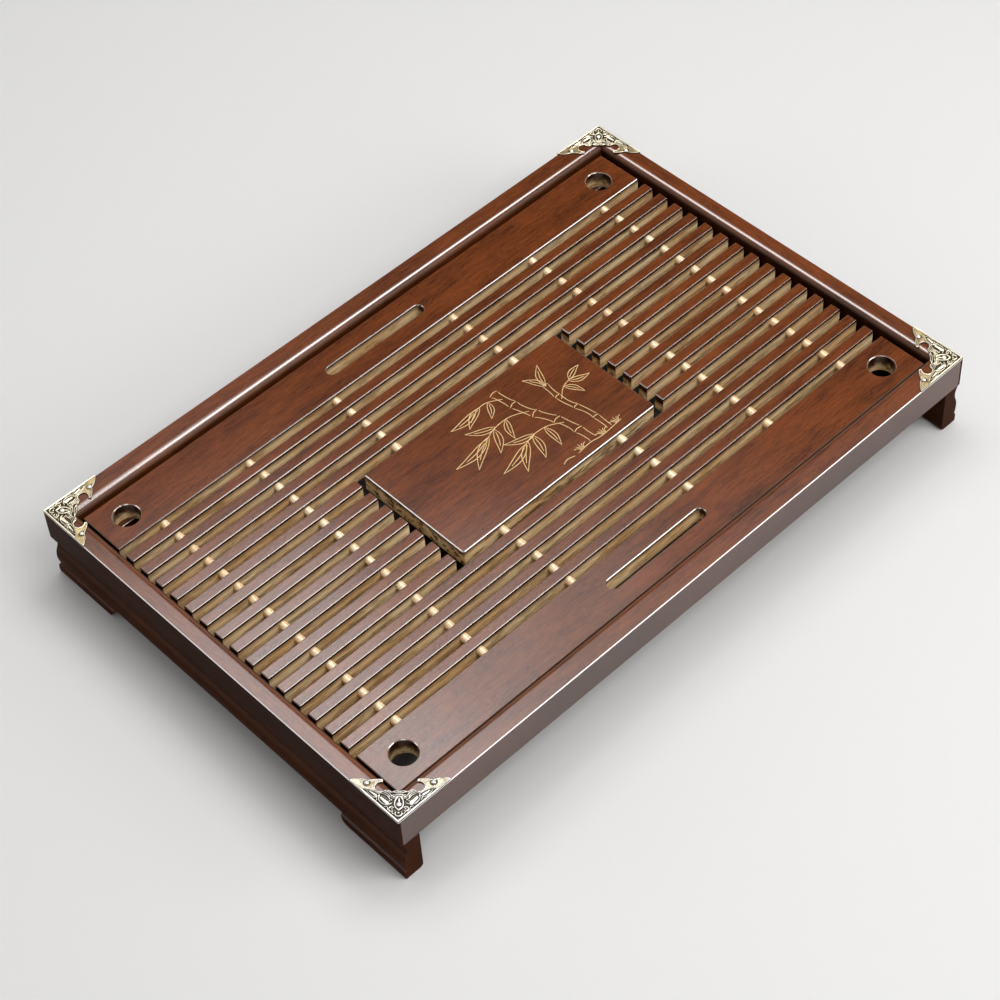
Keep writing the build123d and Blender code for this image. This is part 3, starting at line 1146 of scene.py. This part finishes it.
@dataclass
class CornerBrackets:
    """Four cast corner brackets: a winged figure over scrolls, with smooth pointed tips."""

    effects: Effects
    # Painted light: the front-left casting gets a paler, silvery copy of the brass that stands in for the
    # lamps' reflection, and the other three a darker golden copy, as if shaded.
    brightened: AntiqueBrass = AntiqueBrass()
    golden_shaded: AntiqueBrass = AntiqueBrass(
        ground=(0.095, 0.066, 0.032), plain=(0.60, 0.47, 0.26), tarnish=(0.15, 0.095, 0.034),
        ridge=(1.0, 0.93, 0.76)
    )
    nail: AntiqueBrass = AntiqueBrass(plain=(0.84, 0.80, 0.70), tarnish=(0.55, 0.48, 0.34), gloss=0.2)
    pitch_mm: float = 0.21
    clear_share: float = 0.45
    diagonal_share: float = 1.02
    join_mm: float = 1e-6
    arc_steps: int = 14
    edge_steps: int = 60
    hollow_mm: float = 0.50
    moat_mm: float = 0.30
    moat_width_mm: float = 0.25
    carved_end_mm: float = 28.4
    carved_taper_mm: float = 6.6
    carved_full_mm: float = 21.6
    carved_foot_mm: float = 1.3
    carved_gain_mm: float = 4.2
    carved_edge_mm: float = 0.6
    tip_mm: float = 28.6
    tip_fade_mm: float = 0.8
    least_rise_share: float = 0.25
    plate_mm: float = 0.88
    lip_mm: float = 0.30
    lip_width_mm: float = 0.30
    lip_drop_mm: float = 0.12
    lip_moat_share: float = 2.5
    edge_level: float = 0.55
    nail_shares: Point = (0.79, 0.135)
    nail_radius_mm: float = 1.4
    nail_moat_mm: float = 0.3
    nail_moat_share: float = 1.4
    crease_angle: float = 50.0
    outline_shares: dict[str, Point] = field(
        default_factory=lambda: {
            "tip": (1.0, 0.0),
            "blade": (0.923, 0.107),
            "notch": (0.813, 0.168),
            "horn_back": (0.76, 0.248),
            "horn_tip": (0.672, 0.331),
            "horn_end": (0.637, 0.299),
            "horn_front": (0.677, 0.221),
            "bite_start": (0.651, 0.165),
            "bite": (0.592, 0.147),
            "bite_end": (0.523, 0.224),
            "lobe": (0.491, 0.264),
            "lobe_end": (0.437, 0.272),
            "heart": (0.416, 0.317),
            "middle": (0.36, 0.36),
        }
    )

    def outline(self, leg: float) -> np.ndarray:
        """Draw the outline of a bracket whose corner is at nought.

        Args:
            leg: The length of one leg, in millimetres.

        Returns:
            The closed outline's points as rows, in order.
        """
        p = {name: (a * leg, b * leg) for name, (a, b) in self.outline_shares.items()}
        edge = [(leg * k / self.edge_steps, 0.0) for k in range(self.edge_steps)]
        edge += arc_through(p["tip"], p["blade"], p["notch"], self.arc_steps)
        edge += arc_through(p["notch"], p["horn_back"], p["horn_tip"], self.arc_steps)
        edge += [p["horn_tip"]]
        edge += arc_through(p["horn_end"], p["horn_front"], p["bite_start"], self.arc_steps)
        edge += arc_through(p["bite_start"], p["bite"], p["bite_end"], self.arc_steps)
        edge += arc_through(p["bite_end"], p["lobe"], p["lobe_end"], self.arc_steps)
        edge += arc_through(p["lobe_end"], p["heart"], p["middle"], self.arc_steps)
        edge += [p["middle"]]
        mirrored = [(b, a) for a, b in reversed(edge[1:-1])]
        return np.array(edge + mirrored)

    def strokes(self) -> list[Stroke]:
        """List the raised lines and beads of one leg and of the middle.

        Returns:
            The strokes.
        """
        rib, fine, high = 0.36, 0.30, 0.86
        return [
            Stroke(((0.75, 0.75), (14.0, 0.75), (28.5, 0.75)), 0.26, 0.62),
            Stroke(((9.6, 1.6), (11.1, 2.5), (12.3, 1.6)), fine, 0.62),
            Stroke(((17.9, 1.5), (19.3, 2.5), (20.6, 1.5)), fine, 0.62),
            Stroke(ring((3.9, 3.9), 1.75, 110, 340, 13), 0.40, high, mirrored=False),
            bead((4.2, 4.2), 0.62, high, mirrored=False),
            Stroke(ring((8.4, 3.1), 1.35, -170, 95, 11), 0.36, high),
            bead((8.3, 3.3), 0.5, high),
            Stroke(((5.3, 2.0), (6.1, 1.75), (6.9, 2.1)), fine, 0.6),
            Stroke(((5.3, 5.3), (8.3, 5.5), (10.7, 7.7), (11.5, 10.2)), 0.42, high),
            bead((7.85, 7.85), 1.45, 1.12, mirrored=False),
            Stroke(((9.2, 9.2), (10.3, 10.3)), 0.62, 0.8, 0.4, mirrored=False),
            Stroke(((12.1, 10.1), (11.1, 11.1), (10.1, 12.1)), 0.34, 0.95, mirrored=False),
            Stroke(((13.1, 10.7), (11.9, 11.9), (10.7, 13.1)), 0.34, 1.0, mirrored=False),
            Stroke(((13.6, 11.8), (12.7, 12.7), (11.8, 13.6)), 0.32, 0.9, mirrored=False),
            bead((13.1, 9.1), 0.62, 0.95),
            Stroke(ring((13.1, 9.1), 1.12, 0, 360, 13), 0.24, 0.66),
            Stroke(((14.1, 11.6), (15.3, 10.9), (16.8, 10.5), (18.0, 9.4)), rib, high),
            Stroke(((14.6, 8.7), (16.9, 9.0), (19.5, 7.8)), rib, high, 0.2),
            Stroke(((14.5, 7.6), (16.8, 8.0), (20.0, 6.7)), rib, high, 0.2),
            Stroke(((13.6, 6.7), (16.5, 7.0), (20.2, 5.7)), rib, high, 0.2),
            bead((12.6, 6.9), 0.5, high),
            bead((12.9, 5.8), 0.42, high),
            Stroke(((12.9, 4.1), (15.0, 4.0), (17.3, 4.2)), 1.15, 1.0, 0.75),
            Stroke(((11.0, 5.5), (12.1, 3.1), (14.9, 2.1), (17.8, 2.7), (19.0, 4.5)), 0.32, high),
            Stroke(((20.7, 3.2), (22.5, 2.9), (24.7, 2.7)), 0.85, 0.98, 0.3),
            Stroke(((19.2, 4.3), (20.1, 1.9), (22.7, 1.4), (25.4, 1.7), (27.9, 2.6)), fine, high, 0.15),
            Stroke(((19.5, 5.0), (22.2, 4.5), (24.8, 3.7), (27.6, 2.7)), 0.34, high, 0.15),
        ]

    def moat(self, distance: np.ndarray) -> np.ndarray:
        """Cut a soft groove, from 1 in its middle to 0 beside it."""
        return np.exp(-((distance / self.moat_width_mm) ** 2))

    def height(self, places: np.ndarray, closed: np.ndarray) -> np.ndarray:
        """Work out the height of the casting's face.

        Args:
            places: Rows of two coordinates, in millimetres from the corner.
            closed: The closed outline, whose last point is its first.

        Returns:
            Heights above the rim, in millimetres.
        """
        far, near = places.max(axis=1), places.min(axis=1)
        taper = np.clip((self.carved_end_mm - far) / self.carved_taper_mm, 0, 1)
        reach = self.carved_foot_mm + self.carved_gain_mm * taper
        fringe = np.clip((reach - near) / self.carved_edge_mm + 0.5, 0, 1)
        carved = np.where(far < self.carved_full_mm, 1.0, fringe)
        carved *= np.clip((self.tip_mm - far) / self.tip_fade_mm, 0, 1)
        level = self.plate_mm + (self.hollow_mm - self.plate_mm) * carved**2 * (3 - 2 * carved)
        raised = np.zeros(len(places))
        moat = np.zeros(len(places))
        swapped = places[:, ::-1]
        for stroke in self.strokes():
            for side in (places, swapped) if stroke.mirrored else (places,):
                rise, off = stroke.lift(side)
                raised = np.maximum(raised, rise)
                moat = np.maximum(moat, self.moat(off))
        inside = np.min([gap for *_, gap in spans(places, closed)], axis=0)
        moat = np.maximum(moat, self.moat(inside - self.lip_moat_share * self.lip_width_mm)) * carved
        nail = np.array(self.nail_shares) * places.max()
        for side in (places, swapped):
            around = np.linalg.norm(side - nail, axis=1) - self.nail_radius_mm
            moat = np.maximum(moat, self.nail_moat_share * self.moat(around - self.nail_moat_mm))
        ground = level - self.moat_mm * moat
        stands = raised > self.least_rise_share * raised.max()
        top = np.maximum(ground, (self.hollow_mm + raised) * stands)
        lip = np.sqrt(np.clip(1 - ((inside - self.lip_width_mm) / self.lip_width_mm) ** 2, 0, 1))
        lip_level = self.plate_mm - self.lip_drop_mm + self.lip_mm * lip
        rim = np.maximum(top * np.clip(self.edge_level + inside, 0, 1), lip_level)
        return np.where(inside < 2 * self.lip_width_mm, rim, top)

    def net(self, leg_mm: float) -> FaceNet:
        """Triangulate the outline once, and work out the face's heights.

        Args:
            leg_mm: The length of one leg.

        Returns:
            The net, whose first places are the outline's.
        """
        outline = self.outline(leg_mm)
        closed = np.vstack([outline, outline[:1]])
        row_mm = self.pitch_mm * math.sqrt(3) / 2
        inner = [
            ((i + 0.5 * (j % 2)) * self.pitch_mm, j * row_mm)
            for j in range(1, int(leg_mm / row_mm) + 1)
            for i in range(1, int(leg_mm / self.pitch_mm) + 1)
        ]
        grid = np.array([p for p in inner if p[0] + p[1] < self.diagonal_share * leg_mm])
        gap = np.full(len(grid), np.inf)
        within = np.zeros(len(grid), bool)
        for a, b, _, distance in spans(grid, closed):
            gap = np.minimum(gap, distance)
            crosses = (a[1] > grid[:, 1]) != (b[1] > grid[:, 1])
            crossing = a[0] + (grid[:, 1] - a[1]) * (b[0] - a[0]) / ((b[1] - a[1]) or TINY)
            within ^= crosses & (grid[:, 0] < crossing)
        kept = grid[within & (gap > self.clear_share * self.pitch_mm)]
        flat = [Vector(p) for p in outline] + [Vector(p) for p in kept]
        made = delaunay_2d_cdt(flat, [], [list(range(len(outline)))], 1, self.join_mm)
        places = np.array([tuple(v) for v in made[0]])
        return FaceNet(places, [tuple(f) for f in made[2]], self.height(places, closed), len(outline))

    def build(self, corner: Side, rim_top: float, net: FaceNet) -> bpy.types.Object:
        """Build one bracket.

        Args:
            corner: Which corner it sits on.
            rim_top: The height of the rim.
            net: The triangles of its face.

        Returns:
            The bracket.
        """
        sx, sy = corner.value
        outer_x = CAD_BOX[1].x if sx > 0 else CAD_BOX[0].x
        outer_y = CAD_BOX[1].y if sy > 0 else CAD_BOX[0].y
        mesh = bmesh.new()

        def at(place: np.ndarray, z: float) -> bmesh.types.BMVert:
            """Put a vertex over a place of the net."""
            return mesh.verts.new((outer_x - sx * place[0] * MM, outer_y - sy * place[1] * MM, z))

        top = [at(place, rim_top + height * MM) for place, height in zip(net.places, net.heights)]
        bottom = [at(place, rim_top) for place in net.places[:net.edge_count]]
        flip = sx * sy < 0
        for a, b, c in net.triangles:
            mesh.faces.new((top[c], top[b], top[a]) if flip else (top[a], top[b], top[c]))
        for k in range(net.edge_count):
            n = (k + 1) % net.edge_count
            wall = (top[k], bottom[k], bottom[n], top[n])
            mesh.faces.new(wall[::-1] if flip else wall)
        mesh.faces.new(bottom if flip else bottom[::-1])
        piece = new_piece(f"bracket_relief_{corner.name.lower()}", mesh)
        piece.data.set_sharp_from_angle(angle=math.radians(self.crease_angle))
        return piece

    def dress(self) -> int:
        """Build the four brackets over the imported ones, and dress the nails.

        Returns:
            How many brackets were built.
        """
        lo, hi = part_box("bracket_front_left")
        net = self.net((hi.x - lo.x) / MM)
        brightened = self.brightened.material("bracket_painted_sheen_brass", self.effects, lo.z, MM)
        golden_shaded = self.golden_shaded.material("bracket_golden_shaded_brass", self.effects, lo.z, MM)
        for corner in Side:
            piece = self.build(corner, lo.z, net)
            # Painted light: the front-left bracket takes the lit-looking copy, the others the shaded one.
            piece.data.materials.append(brightened if corner is Side.FRONT_LEFT else golden_shaded)
            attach(piece, "frame")
            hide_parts(f"bracket_{corner.name.lower()}")
        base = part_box("bracket_nails")[1].z - self.nail_radius_mm * MM
        dress("bracket_nails", self.nail.material("nail_brass", self.effects, base, MM))
        return len(Side)


@dataclass
class Plaque:
    """The centre board with a bamboo sprig in gold line work."""

    effects: Effects
    wood: TwoToneWood = TwoToneWood(end_band_mm=1.4, runs=0.8)
    gold: GoldLine = GoldLine()
    joint_inset_share: float = 0.45
    joint_flare_share: float = 1.12
    joint_width_share: float = 1.25
    joint_bow_share: float = 0.3
    waist_share: float = 0.9
    leaf_swell_shares: tuple[Point, ...] = ((0, 0), (0.22, 0.85), (0.5, 1), (0.78, 0.5), (1, 0))
    midrib_shares: tuple[float, ...] = (0.12, 0.4, 0.72)
    stem_steps: int = 12
    line_steps: int = 7
    line_width: float = 0.62 * MM
    thin_share: float = 0.45
    taper_share: float = 0.12
    crown: float = 0.10 * MM
    sunk: float = 0.05 * MM
    edge_round: float = 0.25 * MM
    seed: float = 77.0

    def leaf(self, root: Point, angle: float, length: float, width: float, bend: float) -> list[list[Point]]:
        """Outline one bamboo leaf with its midrib.

        Args:
            root: Where the leaf starts, in millimetres from the plaque's middle.
            angle: Its direction, in degrees.
            length: Its length.
            width: Its half width.
            bend: How far its middle is drawn aside.

        Returns:
            The two edges and the midrib.
        """
        ux, uy = math.cos(math.radians(angle)), math.sin(math.radians(angle))

        def at(along: float, aside: float) -> Point:
            """Place a point along the leaf and aside of its middle."""
            off = aside * width + bend * math.sin(math.pi * along)
            return (root[0] + ux * length * along - uy * off, root[1] + uy * length * along + ux * off)

        edges = [[at(along, side * aside) for along, aside in self.leaf_swell_shares] for side in (1, -1)]
        return [*edges, [at(along, 0) for along in self.midrib_shares]]

    def stem(self, points: list[Point], half: float, joints: int) -> list[list[Point]]:
        """Draw a jointed stem as pairs of lines with a ring at each joint.

        Args:
            points: The stem's middle line.
            half: Its half width.
            joints: How many lengths it has.

        Returns:
            The lines.
        """
        path = smooth_path(points, self.stem_steps)
        lines = []
        ends = np.linspace(0, len(path) - 1, joints + 1).astype(int)
        for start, end in zip(ends, ends[1:]):
            part = path[start:end + 1]
            way = part[-1] - part[0]
            way = way / np.linalg.norm(way)
            aside = np.array([-way[1], way[0]])
            inset = way * half * self.joint_inset_share
            for sign in (-1, 1):
                flare = aside * sign * half * self.joint_flare_share
                waist = aside * sign * half * self.waist_share
                edge = [part[0] + inset + flare]
                edge += [p + waist for p in part[2:-2:3]]
                edge += [part[-1] - inset + flare]
                lines.append([tuple(p) for p in edge])
            rim = aside * half * self.joint_width_share
            joint = [part[-1] - rim, part[-1] + way * half * self.joint_bow_share, part[-1] + rim]
            lines.append([tuple(p) for p in joint])
        return lines

    def drawing(self) -> list[list[Point]]:
        """Collect every line of the sprig, in millimetres from the plaque's middle.

        Returns:
            The lines as lists of points.
        """
        lines = self.stem([(34, -35), (31, -12), (22, 10), (18, 33)], 2.6, 5)
        lines += self.stem([(47, -35), (47, -18), (43, 0), (44, 16)], 1.7, 4)
        lines += [[(31.0, -13), (22, -8), (12, -7), (4, -9)], [(23, 8), (12, 13), (0, 13), (-9, 10)]]
        lines += [[(43, 1), (50, 7), (57, 9)], [(19, 26), (10, 31), (2, 31)]]
        leaves = [
            ((4, -9), 196, 26, 2.5, 1.6), ((6, -8.6), 226, 23, 2.4, -1.4), ((11, -7), 250, 19, 2.2, 1.2),
            ((13, -7), 160, 20, 2.2, 1.4), ((20, -7.6), 262, 17, 2.0, 1.0),
            ((-9, 10), 188, 29, 2.6, 2.0), ((-7, 10.6), 214, 26, 2.5, -1.6), ((-1, 12.6), 238, 19, 2.3, 1.2),
            ((1, 13), 152, 19, 2.2, 1.4), ((9, 13.2), 246, 16, 2.0, -1.0),
            ((2, 31), 184, 22, 2.3, 1.5), ((5, 31.2), 208, 18, 2.1, -1.2), ((11, 30.4), 236, 13, 1.8, 0.9),
            ((57, 9), 20, 13, 1.9, 1.0), ((56, 8.8), -20, 14, 2.0, -1.2), ((51, 7.4), -62, 13, 1.8, 1.0),
            ((44, 16), 62, 17, 2.0, 1.2), ((44, 15), 118, 15, 1.9, -1.0),
        ]
        for leaf in leaves:
            lines += self.leaf(*leaf)
        lines += [[(20, -36), (30, -35), (40, -36.2), (56, -35)], [(8, -36), (12, -34.8), (17, -36)]]
        for x, y in ((24, -35.5), (41, -36), (53, -35.2)):
            for tilt in (-3.0, -1.5, 0.0, 1.5, 3.0):
                tip = (x + tilt * 1.5, y + 4.6 - abs(tilt) * 0.5)
                lines.append([(x + tilt * 0.4, y), (x + tilt * 0.8, y + 2.4), tip])
        return lines

    def build(self) -> bpy.types.Object:
        """Lay the sprig on the plaque's face as crowned threads of paint.

        Returns:
            The line work.
        """
        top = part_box("plaque")[1].z
        start, thin = self.taper_share, self.thin_share
        mesh = bmesh.new()
        for line in self.drawing():
            path = smooth_path(line, self.line_steps) * MM
            ways = np.gradient(path, axis=0)
            ways = ways / np.maximum(np.linalg.norm(ways, axis=1), TINY)[:, None]
            rings = []
            for k, ((x, y), way) in enumerate(zip(path, ways)):
                along = start + (1 - 2 * start) * k / (len(path) - 1)
                swell = thin + (1 - thin) * math.sin(math.pi * along)
                ax, ay = np.array([-way[1], way[0]]) * self.line_width / 2 * swell
                crest, keel = top + self.crown * swell, top - self.sunk
                corners = ((x + ax, y + ay, top), (x, y, crest), (x - ax, y - ay, top), (x, y, keel))
                rings.append([mesh.verts.new(corner) for corner in corners])
            for one, two in zip(rings, rings[1:]):
                for a, b in ((0, 1), (1, 2), (2, 3), (3, 0)):
                    mesh.faces.new((one[a], one[b], two[b], two[a]))
            mesh.faces.new(rings[0][::-1])
            mesh.faces.new(rings[-1])
        bmesh.ops.recalc_face_normals(mesh, faces=mesh.faces)
        return new_piece("plaque_line_work", mesh)

    def dress(self) -> int:
        """Dress the plaque and lay its line work.

        Returns:
            How many pieces the plaque has.
        """
        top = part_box("plaque")[1].z
        dress("plaque", self.wood.material("plaque_finish", self.effects, self.seed, top))
        soften("plaque", self.edge_round)
        lines = self.build()
        lines.data.materials.append(self.gold.material("plaque_gold", self.effects))
        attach(lines, "deck")
        return 2


@dataclass
class WaterPan:
    """The black pan on its runners."""

    effects: Effects
    plastic: PanPlastic = PanPlastic()
    edge_round: float = 0.35 * MM

    def dress(self) -> int:
        """Dress the pan.

        Returns:
            How many nodes were dressed.
        """
        dress("water_pan", self.plastic.material("pan_finish", self.effects))
        soften("water_pan", self.edge_round)
        return 1


def away(azimuth: float, elevation: float) -> Vector:
    """Point away from the tray: 0, 0 is straight to the front, in degrees."""
    a, e = math.radians(azimuth), math.radians(elevation)
    return Vector((math.sin(a) * math.cos(e), -math.cos(a) * math.cos(e), math.sin(e)))


@dataclass(frozen=True)
class Lamp:
    """A soft box, aimed at the middle of the tray."""

    name: str
    azimuth: float
    elevation: float
    distance: float
    width: float
    height: float
    level: float

    def hang(self, target: Vector) -> None:
        """Hang the lamp.

        Args:
            target: Where it points.
        """
        light = bpy.data.lights.new(self.name, "AREA")
        light.shape = "RECTANGLE"
        light.size = self.width
        light.size_y = self.height
        light.energy = self.level * math.pi * self.width * self.height
        lamp = bpy.data.objects.new(self.name, light)
        bpy.context.scene.collection.objects.link(lamp)
        direction = away(self.azimuth, self.elevation)
        lamp.location = target + direction * self.distance
        lamp.rotation_mode = "QUATERNION"
        lamp.rotation_quaternion = direction.to_track_quat("Z", "Y")


@dataclass
class Studio:
    """A pale floor that curves up all round, soft boxes and the camera."""

    floor_colour: Colour = (0.58, 0.575, 0.57)
    floor_gloss: float = 0.8
    floor_specular: float = 0.2
    backdrop_colour: Colour = (0.78, 0.775, 0.77)
    clear_radius: float = 0.6
    fade_radius: float = 1.5
    flat_rings: Range = (0.6, 1.8)
    flat_radius: float = 3.0
    bend_radius: float = 0.9
    bend_steps: int = 12
    wall_height: float = 1.8
    floor_steps: int = 96
    world_level: float = 0.045
    focal_px: float = 2481.834
    frame_px: float = 1000.0
    sensor: float = 36.0
    clip: Range = (0.05, 30.0)
    eye: Triple = (-0.63193, -0.71967, 1.12236)
    azimuth: float = -40.7713
    elevation: float = 49.6352
    roll: float = -4.1835
    lamps: tuple[Lamp, ...] = (
        Lamp("overhead_box", 168.5, 67.0, 1.9, 0.79, 1.05, 4.1),
        Lamp("near_wing", 141.5, 65.0, 1.9, 0.13, 0.84, 2.4),
        Lamp("far_wing", 134.0, 64.0, 1.9, 0.16, 0.80, 1.35),
        Lamp("rail_wing", 126.5, 53.5, 1.9, 0.30, 0.26, 0.45),
        Lamp("right_strip", 93.0, 65.0, 2.0, 0.92, 0.80, 6.2),
        Lamp("front_box", 15.0, 58.0, 1.9, 1.1, 0.9, 6.6),
        Lamp("front_strip", 31.0, 25.0, 2.4, 1.7, 0.8, 6.0),
        Lamp("left_box", -145.0, 55.0, 2.4, 1.0, 0.5, 2.0),
        Lamp("left_strip", -123.0, 20.5, 2.4, 1.4, 0.7, 3.2),
        Lamp("camera_box", -48.0, 38.0, 2.4, 0.95, 0.75, 2.6),
    )

    def build_floor(self) -> None:
        """Make the floor and its curved surround as one turned sheet."""
        angles = [math.pi / 2 * k / self.bend_steps for k in range(self.bend_steps + 1)]
        bend = self.bend_radius
        profile = [(radius, 0.0) for radius in self.flat_rings]
        profile += [(self.flat_radius + bend * math.sin(a), bend * (1 - math.cos(a))) for a in angles]
        profile += [(self.flat_radius + bend, self.wall_height)]
        around = [2 * math.pi * k / self.floor_steps for k in range(self.floor_steps)]
        mesh = bmesh.new()
        middle = mesh.verts.new((0, 0, 0))
        rings = [[mesh.verts.new((r * math.cos(a), r * math.sin(a), z)) for a in around] for r, z in profile]
        for k in range(self.floor_steps):
            n = (k + 1) % self.floor_steps
            mesh.faces.new((middle, rings[0][k], rings[0][n]))
            for one, two in zip(rings, rings[1:]):
                mesh.faces.new((one[k], two[k], two[n], one[n]))
        floor = new_piece("studio_floor", mesh)
        floor.data.materials.append(self.floor_material())

    def floor_material(self) -> bpy.types.Material:
        """Make the floor's finish, which the camera alone sees fade to an even backdrop away from the tray.

        Returns:
            The material.
        """
        surface = Surface("studio_floor")
        surface.paint(Base_Color=self.floor_colour, Roughness=self.floor_gloss)
        surface.paint(Specular_IOR_Level=self.floor_specular)
        backdrop = surface.add("ShaderNodeEmission")
        surface.feed(backdrop.inputs["Color"], self.backdrop_colour)
        far = surface.step(surface.vector("LENGTH", surface.spot()), self.clear_radius, self.fade_radius)
        seen = surface.out(surface.add("ShaderNodeLightPath"), "Is Camera Ray")
        mixed = surface.add("ShaderNodeMixShader")
        shaders = (far * seen, surface.out(surface.shader, "BSDF"), surface.out(backdrop, "Emission"))
        for socket, value in zip(mixed.inputs, shaders):
            surface.feed(socket, value)
        surface.feed(surface.output, surface.out(mixed, "Shader"))
        return surface.material

    def build_world(self) -> None:
        """Fill the shadows a little from all round."""
        world = bpy.data.worlds.new("studio_air")
        world.use_nodes = True
        bpy.context.scene.world = world
        graph = Graph(world.node_tree)
        world.node_tree.nodes.clear()
        shade = graph.add("ShaderNodeBackground")
        graph.feed(shade.inputs["Color"], (1.0, 1.0, 1.0))
        graph.feed(shade.inputs["Strength"], self.world_level)
        output = graph.add("ShaderNodeOutputWorld")
        graph.feed(output.inputs["Surface"], graph.out(shade, "Background"))

    def build_camera(self) -> None:
        """Stand the camera where the photograph was taken."""
        data = bpy.data.cameras.new("camera")
        camera = bpy.data.objects.new("camera", data)
        bpy.context.scene.collection.objects.link(camera)
        bpy.context.scene.camera = camera
        data.sensor_width = self.sensor
        data.lens = self.sensor * self.focal_px / self.frame_px
        data.clip_start, data.clip_end = self.clip
        back = away(self.azimuth, self.elevation)
        level = Vector((0, 0, 1)).cross(back).normalized()
        roll = math.radians(self.roll)
        right = level * math.cos(roll) + back.cross(level) * math.sin(roll)
        turn = Matrix((right, back.cross(right), back)).transposed()
        camera.matrix_world = Matrix.Translation(self.eye) @ turn.to_4x4()

    def build(self) -> int:
        """Make the whole studio.

        Returns:
            How many lamps hang in it.
        """
        self.build_floor()
        self.build_world()
        self.build_camera()
        target = (CAD_BOX[0] + CAD_BOX[1]) / 2
        for lamp in self.lamps:
            lamp.hang(target)
        bpy.context.scene.view_settings.view_transform = "Standard"
        return len(self.lamps)


def main() -> None:
    """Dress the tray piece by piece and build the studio."""
    logging.basicConfig(level=logging.INFO, format="%(message)s")
    effects = Effects()
    log.info("frame: %d nodes dressed", RimFrame(effects).dress())
    log.info("deck: %d nodes dressed", DrainingDeck(effects).dress())
    log.info("plaque: %d pieces", Plaque(effects).dress())
    log.info("pan: %d node dressed", WaterPan(effects).dress())
    log.info("brackets: %d built", CornerBrackets(effects).dress())
    log.info("studio: %d lamps", Studio().build())


if __name__ == "__main__":
    main()
